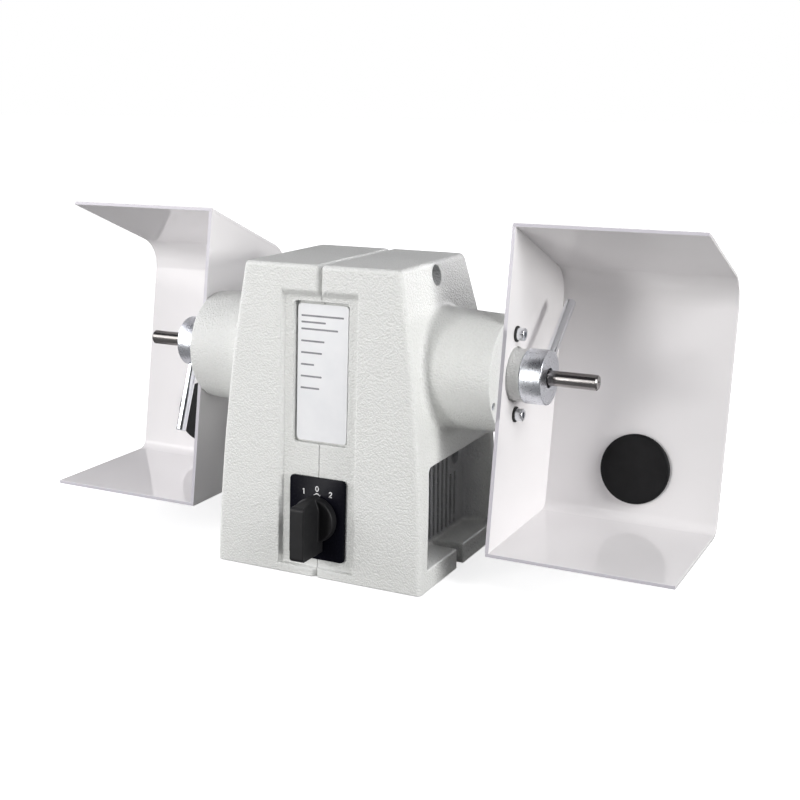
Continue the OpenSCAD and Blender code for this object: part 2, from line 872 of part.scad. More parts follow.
module right_end_cover() { end_cover(bearing_x + bearing_w); }
module left_end_cover() { on_side(-1) end_cover(bearing_x + bearing_w + spring_t); }
module right_cover_screws() { cover_screws(); }
module left_cover_screws() { on_side(-1) cover_screws(); }
module right_shaft_seal() { shaft_seal(); }
module left_shaft_seal() { on_side(-1) shaft_seal(); }
module right_outer_race() { outer_race(); }
module left_outer_race() { on_side(-1) outer_race(); }
module right_inner_race() { inner_race(); }
module left_inner_race() { on_side(-1) inner_race(); }
module right_balls() { bearing_balls(); }
module left_balls() { on_side(-1) bearing_balls(); }
module right_cage() { ball_cage(); }
module left_cage() { on_side(-1) ball_cage(); }
module right_guard_shell() { guard_shell(); }
module left_guard_shell() { on_side(-1) guard_shell(); }
module right_guard_cheek() { guard_cheek(); }
module left_guard_cheek() { on_side(-1) guard_cheek(); }
module right_guard_screws() { guard_screws(); }
module left_guard_screws() { on_side(-1) guard_screws(); }
module right_guard_washers() { guard_washers(); }
module left_guard_washers() { on_side(-1) guard_washers(); }
module right_extraction_plug() { extraction_plug(); }
module left_extraction_plug() { on_side(-1) extraction_plug(); }
module right_ejector_collar() { ejector_collar(right_lever_angle); }
module left_ejector_collar() { on_side(-1) ejector_collar(left_lever_angle); }
module right_ejector_lever() { ejector_lever(right_lever_angle); }
module left_ejector_lever() { on_side(-1) ejector_lever(left_lever_angle); }
module right_thrust_washer() { thrust_washer(); }
module left_thrust_washer() { on_side(-1) thrust_washer(); }

right_housing();
left_housing();
base_plate();
base_screws();
tie_bolts();
tie_nuts();
data_plate();
plate_carrier();
switch_plate();
switch_body();
switch_screws();
switch_knob();
switch_spindle();
right_end_cover();
left_end_cover();
right_cover_screws();
left_cover_screws();
right_shaft_seal();
left_shaft_seal();
right_outer_race();
left_outer_race();
right_inner_race();
left_inner_race();
right_balls();
left_balls();
right_cage();
left_cage();
wave_spring();
rotor_shaft();
rotor_core();
rotor_end_rings();
cooling_fan();
stator_core();
stator_winding();
run_capacitor();
capacitor_clamp();
terminal_block();
earth_stud();
wiring_loom();
cable_gland();
gland_nut();
right_guard_shell();
left_guard_shell();
right_guard_cheek();
left_guard_cheek();
right_guard_screws();
left_guard_screws();
right_guard_washers();
left_guard_washers();
right_extraction_plug();
left_extraction_plug();
right_ejector_collar();
left_ejector_collar();
right_ejector_lever();
left_ejector_lever();
right_thrust_washer();
left_thrust_washer();
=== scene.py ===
"""Looks of a double-ended polishing motor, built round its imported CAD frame. Lengths are in mm until they
reach a mesh, which is in metres."""
import itertools
import json
import math

import bmesh
import bpy
import numpy as np
from mathutils import Matrix, Vector


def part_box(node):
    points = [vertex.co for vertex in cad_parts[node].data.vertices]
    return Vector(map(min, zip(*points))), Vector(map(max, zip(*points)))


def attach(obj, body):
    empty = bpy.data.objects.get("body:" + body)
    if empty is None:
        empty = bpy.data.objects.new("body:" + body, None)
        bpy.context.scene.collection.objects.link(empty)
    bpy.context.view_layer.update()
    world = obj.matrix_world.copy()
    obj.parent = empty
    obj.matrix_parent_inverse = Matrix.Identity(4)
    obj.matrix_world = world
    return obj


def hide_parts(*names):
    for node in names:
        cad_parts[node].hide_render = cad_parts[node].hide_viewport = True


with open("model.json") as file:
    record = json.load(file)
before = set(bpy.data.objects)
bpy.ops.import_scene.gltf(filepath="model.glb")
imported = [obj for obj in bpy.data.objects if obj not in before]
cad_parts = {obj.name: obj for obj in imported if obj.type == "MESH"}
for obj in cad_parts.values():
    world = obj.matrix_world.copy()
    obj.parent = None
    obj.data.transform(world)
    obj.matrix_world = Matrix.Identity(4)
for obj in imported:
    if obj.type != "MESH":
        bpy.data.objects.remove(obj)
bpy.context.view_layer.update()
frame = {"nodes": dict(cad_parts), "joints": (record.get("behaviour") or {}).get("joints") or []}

MM = 0.001
FINE = 0.8      # grid of the cast housing
KEPT = 0.07    # share of its triangles that are kept
joints = {joint["name"]: joint for joint in frame["joints"]}


# ---------------------------------------------------------------- sizes
def span(node):
    """Lowest and highest corner of a CAD node, in mm."""
    low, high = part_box(node)
    return np.array(low) / MM, np.array(high) / MM


body_low, body_high = span("right_housing")
NECK_END, REAR, BODY_H = body_high
FRONT = -body_low[1]
shaft_low, shaft_high = span("rotor_shaft")
SHAFT_H = (shaft_low[2] + shaft_high[2]) / 2
SPINDLE_END = shaft_high[0]
COVER_END = span("right_guard_cheek")[0][0]
GUARD_END = span("right_guard_shell")[1][0]
PLATE_W = 2 * span("data_plate")[1][0]
SWITCH_W = 2 * span("switch_plate")[1][0]

# The casting. From here on come the sizes that no node's box gives.
FOOT_HALF, TOP_HALF, SIDE_BOW = 94.0, 69.0, 4.8     # half width at the foot and at the top, and the bulge
KNEE_H, REAR_TOP = 165.0, 61.0                      # where the rear starts to lean in, and its depth on top
WALL = 5.0
NECK_ROOT, NECK_NORMAL = (60, 49.4), (3.3, 70)      # the neck's cone, in x and radius
NECK_BORE, WEB_IN, WEB_OUT = 41, 106, 112           # the web across the neck carries the bearing's hub
HUB_R, BEARING_R, SHAFT_HOLE = 24, 17.5, 14
STATOR_R, SEAT_IN, SEAT_OUT = 50, 15, 30
PAD_HALF, PAD_T = 40, 10                            # the thick pad behind the front's panel
POCKET_X, POCKET_TOP, FOOT_T = 69.0, 96.0, 17.0     # back wall of a side pocket, its top, the foot's height
FOOT_SLOT_X, FOOT_SLOT_R = 75, 6
VENT_Y, VENT_LOW, VENT_PITCH, VENT_R = -48, 22.0, 8.3, 2.1
VENT_TOPS = np.array([64, 64, 64] + [92] * 7 + [64, 64], float)
TIE_POINTS = [(0, 239, 8), (44, 80, 7), (-44, 80, 7)]      # y, z, radius of the counterbore
TIE_R, TIE_BOSS_R, TIE_SEAT_X = 4.5, 10.5, 52
KNOB_UP, PLATE_UP = 48.5, 165.0                     # up the front face: the knob's axis, the plate's middle
PANEL_HALF, PANEL_LOW, PANEL_HIGH, PANEL_DEPTH = 34.5, 7, 230, 4
WINDOW_HALF, WINDOW_DEPTH = 56.5, 9

# End covers and what is on them
COVER_SCREWS, COVER_SCREW_AT = (86.6, 206.6, 326.6), 41    # degrees, distance from the shaft's axis
BOSS_R, BOSS_END = 20.5, 149
THREAD_R, THREAD_END = 15.2, 157
GUARD_SCREW_AT = 32                                 # above and below the shaft's axis
COLLAR_R, COLLAR_START, COLLAR_END = 21.5, 149.5, 167
LEVER_R, LEVER_ROOT, LEVER_REACH, LEVER_X = 4.2, 17, 80, 160.5
LEVER_ANGLES = {1: 38, -1: -112}                    # right and left, up from straight back, in degrees

# Guards: corners of their section in y and z, and the outside radii of the two bends
SHEET = 3.0
CHEEK_GAP = 0.02
TOP_FRONT, TOP_BACK = (-5.7, 283.8), (114.3, 233.5)
LOW_BACK, LOW_FRONT = (78.5, 31.5), (-49.4, 31.5)
TOP_BEND, LOW_BEND = 30.0, 12.0
PORT_H, PORT_R = 76.5, 26

# Switch and data plate, in the front face's own frame: x across, y up the slope, z out, from the knob
PLATE_H, PLATE_MID, PLATE_FACE = 109.0, PLATE_UP - KNOB_UP, -6.6
SWITCH_H, SWITCH_LOW, SWITCH_FACE = 67.0, -4, -1.5
KNOB_R, BASE_H, KNOB_H, GRIP_HALF = 18.5, 8, 31, 6.16
FIGURE_AT = 24.5                                    # from the knob's axis
INK_W, INK_LAYER = 0.75, (-1.52, -1.42)

front_out = Vector(joints["switch_turn"]["axis"]).normalized()
if front_out.y > 0:
    front_out = -front_out
front_up = Vector((1, 0, 0)).cross(front_out) * -1
front_at = Vector((0, -FRONT, 0)) + front_up * KNOB_UP
ON_FRONT = Matrix.Translation(front_at) @ Matrix(
    (Vector((1, 0, 0)), front_up, front_out)).transposed().to_4x4()
ALONG_SHAFT = Matrix.Translation((0, 0, SHAFT_H))


# ---------------------------------------------------------------- fields
PROBE = 0.05      # how far to each side, in grid steps, a field is read to find its slope


def unite(a, b, r):
    """Union of two distance fields with a fillet of radius r."""
    return np.maximum(r, np.minimum(a, b)) - np.hypot(np.maximum(r - a, 0), np.maximum(r - b, 0))


def meet(a, b, r=0.0):
    """Intersection of two distance fields with its edges rounded to radius r."""
    if not r:
        return np.maximum(a, b)
    return np.minimum(-r, np.maximum(a, b)) + np.hypot(np.maximum(r + a, 0), np.maximum(r + b, 0))


def cut(a, b, r=0.0):
    """The first field's body without the second's, with the new edges rounded to radius r."""
    return meet(a, -b, r)


def rounded_box_2d(x, y, half_w, half_h, r):
    """Distance out of a rectangle with corners of radius r."""
    a, b = abs(x) - half_w + r, abs(y) - half_h + r
    return np.hypot(np.maximum(a, 0), np.maximum(b, 0)) + np.minimum(np.maximum(a, b), 0) - r


def plane(x, y, at, normal):
    """Distance out of a line in the plane of x and y."""
    n = np.array(normal) / math.hypot(*normal)
    return (x - at[0]) * n[0] + (y - at[1]) * n[1]


def between(value, low, high):
    """Distance out of the layer from low to high."""
    return np.maximum(low - value, value - high)


def surface_net(field, low, high, step):
    """Vertices and quads of the surface where field(x, y, z) is 0."""
    margin = 2.37 * step      # not a round number, so that no flat face lies in the grid's own planes
    axes = [np.arange(a - margin, b + 3 * step, step) for a, b in zip(low, high)]
    grid = np.broadcast_to(
        field(axes[0][:, None, None], axes[1][None, :, None], axes[2][None, None, :]),
        [len(a) for a in axes]).astype(np.float32)
    inside = grid < 0
    count = np.zeros([n - 1 for n in grid.shape], np.int8)
    for o in itertools.product((0, 1), repeat=3):
        count += inside[tuple(slice(k, n - 1 + k) for k, n in zip(o, grid.shape))]
    active = (count > 0) & (count < 8)
    cells = np.argwhere(active)
    index = np.full(active.shape, -1, np.int64)
    index[active] = np.arange(len(cells))
    total, hits = np.zeros(cells.shape), np.zeros(len(cells))
    for axis in range(3):
        u, v = (axis + 1) % 3, (axis + 2) % 3
        for du, dv in itertools.product((0, 1), repeat=2):
            a = cells.copy()
            a[:, u] += du
            a[:, v] += dv
            b = a.copy()
            b[:, axis] += 1
            da, db = grid[tuple(a.T)], grid[tuple(b.T)]
            crosses = (da < 0) != (db < 0)
            at = a.astype(float)
            at[:, axis] += np.where(crosses, da / np.where(crosses, da - db, 1), 0)
            total += at * crosses[:, None]
            hits += crosses
    points = total / hits[:, None] * step + np.array([a[0] for a in axes])
    quads = []
    for axis in range(3):
        u, v = (axis + 1) % 3, (axis + 2) % 3
        head = [slice(1, -1)] * 3
        tail = [slice(1, -1)] * 3
        head[axis], tail[axis] = slice(0, -1), slice(1, None)
        near, far = inside[tuple(head)], inside[tuple(tail)]
        at = np.argwhere(near != far) + 1
        at[:, axis] -= 1
        ring = []
        for du, dv in ((-1, -1), (0, -1), (0, 0), (-1, 0)):
            c = at.copy()
            c[:, u] += du
            c[:, v] += dv
            ring.append(index[tuple(c.T)])
        ring = np.stack(ring, 1)
        outward = near[near != far]
        quads.append(np.where(outward[:, None], ring, ring[:, ::-1]))
    return points, np.concatenate(quads)


def slope(field, p, h):
    """The field's gradient at points p, an (n, 3) array."""
    g = np.empty(p.shape)
    for axis in range(3):
        step = np.zeros(3)
        step[axis] = h
        g[:, axis] = (field(*(p + step).T) - field(*(p - step).T)) / (2 * h)
    return g


def settle(field, p, step, rounds=3):
    """Moves points onto the surface along the field's slope, a part of a grid step at a time."""
    reach, flattest = 0.6 * step, 0.2
    for _ in range(rounds):
        g = slope(field, p, PROBE * step)
        size = np.maximum((g * g).sum(1), flattest)
        p = p - (np.clip(field(*p.T), -reach, reach) / size)[:, None] * g
    return p


# ---------------------------------------------------------------- meshes and objects
CREASE = math.radians(32)      # an edge bent by more is shaded as a crease
SHARP = math.radians(50)       # and an edge bent by more than this is rounded by eased()


def raw_mesh(name, verts, faces):
    """A mesh from vertices in mm and an (m, 3 or 4) array of faces."""
    mesh = bpy.data.meshes.new(name)
    faces = np.asarray(faces)
    m, k = faces.shape
    mesh.vertices.add(len(verts))
    mesh.vertices.foreach_set("co", (np.asarray(verts) * MM).ravel())
    mesh.loops.add(m * k)
    mesh.loops.foreach_set("vertex_index", faces.ravel())
    mesh.polygons.add(m)
    mesh.polygons.foreach_set("loop_start", np.arange(m) * k)
    mesh.polygons.foreach_set("use_smooth", np.ones(m, bool))
    mesh.update(calc_edges=True)
    return mesh


def add(name, mesh):
    """A new object in the scene."""
    obj = bpy.data.objects.new(name, mesh)
    bpy.context.scene.collection.objects.link(obj)
    return obj


def settled(obj):
    """Replaces an object's mesh with the one that its modifiers give."""
    dg = bpy.context.evaluated_depsgraph_get()
    mesh = bpy.data.meshes.new_from_object(obj.evaluated_get(dg))
    obj.modifiers.clear()
    old, obj.data = obj.data, mesh
    bpy.data.meshes.remove(old)
    return obj


def points_of(mesh):
    """A mesh's vertices, in mm."""
    co = np.empty(len(mesh.vertices) * 3)
    mesh.vertices.foreach_get("co", co)
    return co.reshape(-1, 3) / MM


def shade_from(obj, field, step):
    """Settles a mesh on its field and takes its normals from it."""
    p = settle(field, points_of(obj.data), step, 2)
    obj.data.vertices.foreach_set("co", (p * MM).ravel())
    obj.data.polygons.foreach_set("use_smooth", np.ones(len(obj.data.polygons), bool))
    g = slope(field, p, PROBE * step)
    obj.data.normals_split_custom_set_from_vertices(g / np.linalg.norm(g, axis=1)[:, None])
    obj.data.update()
    return obj


def sculpt(name, field, low, high, step, keep):
    """An object whose surface is where the field is 0, thinned to a share keep of its triangles."""
    points, quads = surface_net(field, low, high, step)
    obj = add(name, raw_mesh(name, settle(field, points, step), quads))
    thin = obj.modifiers.new("thin", "DECIMATE")
    thin.ratio = keep
    return shade_from(settled(obj), field, step)


def mirrored(obj, name):
    """A copy of a sculpted object on the other side of the split plane."""
    mesh = obj.data.copy()
    mesh.name = name
    normals = np.empty(len(mesh.loops) * 3, np.float32)
    mesh.corner_normals.foreach_get("vector", normals)
    corners = np.empty(len(mesh.loops), np.int32)
    mesh.loops.foreach_get("vertex_index", corners)
    at_point = np.zeros((len(mesh.vertices), 3))
    at_point[corners] = normals.reshape(-1, 3)
    mesh.vertices.foreach_set("co", (points_of(mesh) * (-MM, MM, MM)).ravel())
    mesh.flip_normals()
    mesh.normals_split_custom_set_from_vertices(at_point * (-1, 1, 1))
    mesh.update()
    return add(name, mesh)


def rounded(points, r, steps=4):
    """Points with their corners rounded. r is a radius for a line's inner corners, or one for each point."""
    out = []
    points = [np.array(p, float) for p in points]
    radii = r if isinstance(r, (list, tuple)) else [0] + [r] * (len(points) - 2) + [0]
    for i, (p, radius) in enumerate(zip(points, radii)):
        if not radius:
            out.append(tuple(p))
            continue
        a, b = points[i - 1] - p, points[(i + 1) % len(points)] - p
        la, lb = np.linalg.norm(a), np.linalg.norm(b)
        a, b = a / la, b / lb
        half = math.acos(max(-1, min(1, a @ b))) / 2
        back = min(radius / math.tan(half), 0.49 * la, 0.49 * lb)
        radius = back * math.tan(half)
        mid = p + (a + b) / np.linalg.norm(a + b) * radius / math.sin(half)
        start, end = p + a * back - mid, p + b * back - mid
        for k in range(steps + 1):
            t = k / steps
            turn = math.pi - 2 * half
            way = (math.sin((1 - t) * turn) * start + math.sin(t * turn) * end) / math.sin(turn)
            out.append(tuple(mid + way))
    return out


def hexagon(angle):
    """Radius of a hexagon whose corners lie on a circle of radius 1, at an angle."""
    third = math.pi / 3
    return math.cos(third / 2) / math.cos(angle % third - third / 2)


def lathe(name, profile, place, turns=96):
    """A closed body turned about x. profile has (along, radius) points, or (along, radius, share) where a
    share of the section is hexagonal; it starts and ends on the axis or comes back to its start."""
    rows = []
    for along, radius, *share in profile:
        if radius < 1e-6:
            rows.append([(along, 0, 0)])
            continue
        hexed = share[0] if share else 0
        angles = [2 * math.pi * k / turns for k in range(turns)]
        radii = [radius * (1 - hexed + hexed * hexagon(a)) for a in angles]
        rows.append([(along, r * math.cos(a), r * math.sin(a)) for a, r in zip(angles, radii)])
    bm = bmesh.new()
    loop = rows[0] == rows[-1] and len(rows[0]) > 1
    if loop:
        rows = rows[:-1]
    made = [[bm.verts.new(place @ Vector(p) * MM) for p in row] for row in rows]
    pairs = list(zip(made, made[1:])) + ([(made[-1], made[0])] if loop else [])
    for a, b in pairs:
        for k in range(turns):
            j = (k + 1) % turns
            ring = [a[k % len(a)], a[j % len(a)], b[j % len(b)], b[k % len(b)]]
            ring = list(dict.fromkeys(ring))
            if len(ring) > 2:
                bm.faces.new(ring)
    return finished(name, bm)


def finished(name, bm):
    """An object from a bmesh, shaded smooth but for its creases."""
    bmesh.ops.recalc_face_normals(bm, faces=bm.faces)
    mesh = bpy.data.meshes.new(name)
    bm.to_mesh(mesh)
    bm.free()
    mesh.polygons.foreach_set("use_smooth", np.ones(len(mesh.polygons), bool))
    mesh.set_sharp_from_angle(angle=CREASE)
    return add(name, mesh)


def slab(name, outline, low, high, place, edge=0.0):
    """An outline in x and y drawn up from low to high, its upper edge rounded off by edge."""
    bm = bmesh.new()
    bottom = [bm.verts.new((x, y, low)) for x, y in outline]
    top = [bm.verts.new((x, y, high)) for x, y in outline]
    bm.faces.new(bottom[::-1])
    bm.faces.new(top)
    n = len(outline)
    for k in range(n):
        bm.faces.new((bottom[k], bottom[(k + 1) % n], top[(k + 1) % n], top[k]))
    if edge:
        rim = [e for e in bm.edges if e.verts[0].co.z == high and e.verts[1].co.z == high]
        bmesh.ops.bevel(bm, geom=rim, offset=edge, segments=3, profile=0.5, affect="EDGES")
    bmesh.ops.transform(bm, matrix=Matrix.Scale(MM, 4) @ place, verts=bm.verts)
    return finished(name, bm)


def rectangle(w, h, r, cx=0.0, cy=0.0):
    """Outline of a w by h rectangle round a middle, its corners rounded to radius r."""
    corners = [(cx - w / 2, cy - h / 2), (cx + w / 2, cy - h / 2),
               (cx + w / 2, cy + h / 2), (cx - w / 2, cy + h / 2)]
    return rounded(corners, [r] * 4, 6)


def stroke(name, path, width, low, high, place, closed=False):
    """A flat line of ink of even width along a path in x and y."""
    path = [np.array(p, float) for p in path]
    n = len(path)
    sides = []
    for k, p in enumerate(path):
        before = path[k - 1] if k or closed else p
        after = path[(k + 1) % n] if k < n - 1 or closed else p
        along = (after - before) / np.linalg.norm(after - before)
        across = np.array((-along[1], along[0])) * width / 2
        sides.append((p - across, p + across))
    bm = bmesh.new()
    rows = [[bm.verts.new((*side, h)) for side, h in
             ((a, low), (b, low), (b, high), (a, high))] for a, b in sides]
    for k in range(n if closed else n - 1):
        a, b = rows[k], rows[(k + 1) % n]
        for i in range(4):
            bm.faces.new((a[i], a[(i + 1) % 4], b[(i + 1) % 4], b[i]))
    if not closed:
        bm.faces.new(rows[0])
        bm.faces.new(rows[-1][::-1])
    bmesh.ops.transform(bm, matrix=Matrix.Scale(MM, 4) @ place, verts=bm.verts)
    return finished(name, bm)


def drilled(obj, holes):
    """Cuts round holes, each (place, radius, from, to) along its own x."""
    for place, r, low, high in holes:
        drill = lathe("drill", [(low, 0), (low, r), (high, r), (high, 0)], place, 72)
        tool = obj.modifiers.new("drill", "BOOLEAN")
        tool.operation, tool.solver, tool.object = "DIFFERENCE", "EXACT", drill
        settled(obj)
        mesh = drill.data
        bpy.data.objects.remove(drill)
        bpy.data.meshes.remove(mesh)
    return obj


def eased(obj, width):
    """Rounds an object's sharp edges."""
    bevel = obj.modifiers.new("ease", "BEVEL")
    bevel.width, bevel.segments = width * MM, 2
    bevel.limit_method, bevel.angle_limit = "ANGLE", SHARP
    bevel.harden_normals = True
    return settled(obj)


# ---------------------------------------------------------------- the cast housing
def front_frame(y, z):
    """Height up the front face from its lower edge, and distance out of it."""
    dy = y + FRONT
    return (dy * front_up.y + z * front_up.z, dy * front_out.y + z * front_out.z)


def box_walls(x, y, z):
    """Distances out of the bowed side, the front and the rear of the tapered box."""
    t = np.clip(z / BODY_H, -0.02, 1.02)
    half = FOOT_HALF + (TOP_HALF - FOOT_HALF) * t + 4 * SIDE_BOW * t * (1 - t)
    lean = (TOP_HALF - FOOT_HALF + 4 * SIDE_BOW * (1 - 2 * t)) / BODY_H
    return ((x - half) / np.hypot(1, lean),
            front_frame(y, z)[1],
            meet(y - REAR, plane(y, z, (REAR, KNEE_H), (BODY_H - KNEE_H, REAR - REAR_TOP)), 14))


def pocket(x, y, z):
    """The room above the foot."""
    profile = meet(plane(y, z, (-62.4, FOOT_T), (-79, 12.4)), z - POCKET_TOP, 4.5)
    rear = meet(plane(x, y, (POCKET_X, 61), (-12.5, 25)), y - 73.5, 1)
    return meet(meet(meet(profile, rear, 4), FOOT_T - z, 2), POCKET_X - x, 2.5)


def vents(x, y, z):
    """The slots in the pocket's back wall."""
    i = np.clip(np.rint((y - VENT_Y) / VENT_PITCH), 0, len(VENT_TOPS) - 1)
    top = VENT_TOPS[i.astype(int)]
    slot = np.hypot(y - VENT_Y - i * VENT_PITCH, z - np.clip(z, VENT_LOW, top)) - VENT_R
    return meet(slot, abs(x - POCKET_X + WALL / 2) - 6)


def border(distance, out, slant):
    """Distance out of a face of the panel that slants outwards as it rises."""
    return (distance - slant * out) / math.hypot(1, slant)


def panel(x, y, z):
    """The shallow recess of the front, with sloping borders, and the window in it."""
    up, out = front_frame(y, z)
    sides = border(abs(x) - PANEL_HALF, out, 0.45)
    top = border(up - PANEL_HIGH, out, 1.15)
    foot = border(PANEL_LOW - up, out, 0.12)
    recess = meet(meet(meet(sides, top, 0.8), foot, 0.5), -PANEL_DEPTH - out, 0.7)
    window = rounded_box_2d(x, up - PLATE_UP, PLATE_W / 2 + 2, WINDOW_HALF, 2.5)
    return recess, meet(window, -WINDOW_DEPTH - out, 0.5)


def hollowed(body, x, y, z):
    """The body with the room in it, and what stands in that room."""
    side, front, rear = box_walls(x, y, z)
    up, out = front_frame(y, z)
    r = np.hypot(y, z - SHAFT_H)
    walls = np.maximum(np.maximum(side, front), rear)
    lidded = np.maximum(walls, z - BODY_H)
    body = cut(body, cut(lidded + WALL, meet(POCKET_X - WALL - x, z - POCKET_TOP - WALL), 2))
    body = cut(body, meet(meet(r - NECK_BORE, x - WEB_IN, 2), NECK_ROOT[0] - x))
    body = cut(body, meet(r - NECK_BORE, WEB_OUT - x, 2))
    pad = meet(meet(abs(x) - PAD_HALF, between(out, -PAD_T, -1)), between(up, PANEL_LOW - 2, PANEL_HIGH + 2))
    body = np.minimum(body, np.maximum(pad, side + 1))
    for y0, z0, _ in TIE_POINTS:
        boss = meet(np.hypot(y - y0, z - z0) - TIE_BOSS_R, x - POCKET_X + 1)
        body = np.minimum(body, np.maximum(boss, walls + 1))
    for y0 in (-65, 72):
        base_post = meet(np.hypot(x - 58, y - y0) - 7, between(z, 3, 30))
        body = np.minimum(body, base_post)
    seat = meet(meet(between(x, SEAT_IN, SEAT_OUT), POCKET_TOP - z), lidded + WALL - 1)
    seat = cut(cut(seat, meet(r - STATOR_R - 5, x - 25)), r - STATOR_R)
    body = np.minimum(body, seat)
    body = np.minimum(body, meet(r - HUB_R, between(x, WEB_IN, NECK_END)))
    return cut(cut(body, meet(r - BEARING_R, WEB_OUT - x)), meet(r - SHAFT_HOLE, 100 - x))


def housing(x, y, z):
    """The right half of the housing."""
    side, front, rear = box_walls(x, y, z)
    up, out = front_frame(y, z)
    top = z - BODY_H
    neck = meet(plane(x, np.hypot(y, z - SHAFT_H), NECK_ROOT, NECK_NORMAL), x - NECK_END)
    body = meet(meet(side, front, 4.6), rear, 6)
    body = unite(meet(meet(body, top, 3.6), -z, 0.8), neck, 5.0)
    body = hollowed(body, x, y, z)
    body = cut(body, pocket(x, y, z), 1.4)
    body = cut(body, vents(x, y, z), 0.5)
    for depth, face in ((3.4, front), (3.8, top), (3.6, rear)):      # this half of the groove along the split
        body = meet(body, (depth - x + face) / math.sqrt(2), 0.5)
    slot = meet(np.hypot(np.minimum(x - FOOT_SLOT_X, 0), y) - FOOT_SLOT_R, z - FOOT_T - 2)
    body = cut(body, slot, 1.4)
    for y0, z0, head_r in TIE_POINTS:
        from_axis = np.hypot(y - y0, z - z0)
        body = cut(cut(body, from_axis - TIE_R), meet(from_axis - head_r, TIE_SEAT_X - x), 0.7)
    recess, window = panel(x, y, z)
    body = cut(cut(body, recess, 0.7), window, 0.5)
    body = cut(body, meet(np.hypot(x, up - KNOB_UP) - 9, -30 - out))
    half_gap = 0.005 + 0.115 * np.clip((out + WINDOW_DEPTH) / 3, 0, 1)      # it opens only at the front
    return np.maximum(body, half_gap - x)


def cover(x, y, z):
    """The right end cover, whose disc carries on the neck's cone, with its boss and thread."""
    r = np.hypot(y, z - SHAFT_H)
    root_x, root_r = NECK_ROOT
    cone = plane(x, r, (root_x, root_r + 0.02), NECK_NORMAL)
    disc = meet(meet(cone, x - COVER_END, 0.9), NECK_END - 0.9 - x)
    boss = meet(r - BOSS_R, x - BOSS_END, 0.5)
    body = unite(disc, meet(boss, 124 - x), 1.2)
    spigot = meet(r - BEARING_R + 0.1, between(x, 123.1, 130.9), 0.4)
    body = np.minimum(body, spigot)
    body = np.minimum(body, meet(r - THREAD_R, between(x, 124, THREAD_END), 0.6))
    body = cut(body, meet(r - SHAFT_HOLE, x - NECK_END))
    body = cut(body, r - 9, 0.4)
    for z0 in (-GUARD_SCREW_AT, GUARD_SCREW_AT):
        body = cut(body, np.hypot(y, z - SHAFT_H - z0) - 3, 0.2)
    for angle in COVER_SCREWS:
        a = math.radians(angle)
        from_axis = np.hypot(y - COVER_SCREW_AT * math.cos(a), z - SHAFT_H - COVER_SCREW_AT * math.sin(a))
        body = cut(cut(body, from_axis - 1.7), meet(from_axis - 3.1, NECK_END + 3 - x), 0.3)
    return body


def knob(x, y, z):
    """The switch knob in the front face's frame: a round base with a bar grip that ends in a nose."""
    base = meet(np.hypot(x, y) - KNOB_R, z - BASE_H, 1.6)
    bar = meet(abs(x) - GRIP_HALF, plane(y, z, (20, 1), (28, 4)), 0.8)
    bar = meet(bar, plane(y, z, (14, KNOB_H), (2, 2)), 0.3)
    bar = meet(bar, plane(y, z, (-28, 29), (-20, -1)), 0.8)
    bar = meet(bar, plane(y, z, (-26, KNOB_H), (-2, 2)), 0.5)
    bar = meet(bar, z - KNOB_H, 0.8)
    a, b, c = np.array(((GRIP_HALF, 14.9, KNOB_H - 1), (1.4, 20, 1), (GRIP_HALF, 9, 1)))
    normal = np.cross(b - a, c - a)
    normal /= np.linalg.norm(normal) * (1 if normal[0] > 0 else -1)
    nose = (abs(x) - a[0]) * normal[0] + (y - a[1]) * normal[1] + (z - a[2]) * normal[2]
    both = unite(base, meet(bar, nose, 0.6), 1.2)
    spindle_hole = meet(np.maximum(abs(x), abs(y)) - 2.5, z - 6)
    return cut(meet(both, 0.05 - z, 0.3), spindle_hole)


# ---------------------------------------------------------------- material helpers
def tree(name):
    """A new material, its nodes and links, and its shader."""
    mat = bpy.data.materials.new(name)
    mat.use_nodes = True
    nodes, links = mat.node_tree.nodes, mat.node_tree.links
    return mat, nodes, links, nodes["Principled BSDF"]


def node(nodes, kind, **values):
    """A new node, with the values of its sockets or settings."""
    n = nodes.new(kind)
    for key, value in values.items():
        if key in n.inputs:
            n.inputs[key].default_value = value
        else:
            setattr(n, key, value)
    return n


def place_in(nodes):
    """Object coordinates, in metres."""
    return nodes.new("ShaderNodeTexCoord").outputs["Object"]


def texture(nodes, links, at, kind, **values):
    """A texture node read at a place."""
    n = node(nodes, kind, **values)
    links.new(at, n.inputs["Vector"])
    return n


def calculated(nodes, links, operation, *sources):
    """What a Math node makes of its sources."""
    n = node(nodes, "ShaderNodeMath", operation=operation)
    for source, socket in zip(sources, n.inputs):
        links.new(source, socket)
    return n.outputs[0]


def ranged(nodes, links, source, low, high, from_low=0.25, from_high=0.75):
    """The source, stretched so that from_low becomes low and from_high becomes high, and clamped there."""
    r = node(nodes, "ShaderNodeMapRange")
    r.inputs["From Min"].default_value, r.inputs["From Max"].default_value = from_low, from_high
    r.inputs["To Min"].default_value, r.inputs["To Max"].default_value = low, high
    links.new(source, r.inputs["Value"])
    return r.outputs["Result"]


def blend_colour(nodes, links, factor, a, b):
    """From a, at factor 0, to b, at 1. Either is a colour or a node's output."""
    m = node(nodes, "ShaderNodeMix", data_type="RGBA")
    links.new(factor, m.inputs["Factor"])
    for socket, value in ((6, a), (7, b)):
        if hasattr(value, "is_output"):
            links.new(value, m.inputs[socket])
        else:
            m.inputs[socket].default_value = (*value, 1)
    return m.outputs[2]


def bumped(nodes, links, shader, height, distance, under=None):
    """Relief of a height in metres on a shader, over the relief under it."""
    bump = node(nodes, "ShaderNodeBump", Distance=distance, Strength=1.0)
    links.new(height, bump.inputs["Height"])
    if under:
        links.new(under, bump.inputs["Normal"])
    links.new(bump.outputs["Normal"], shader.inputs["Normal"])
    return bump.outputs["Normal"]


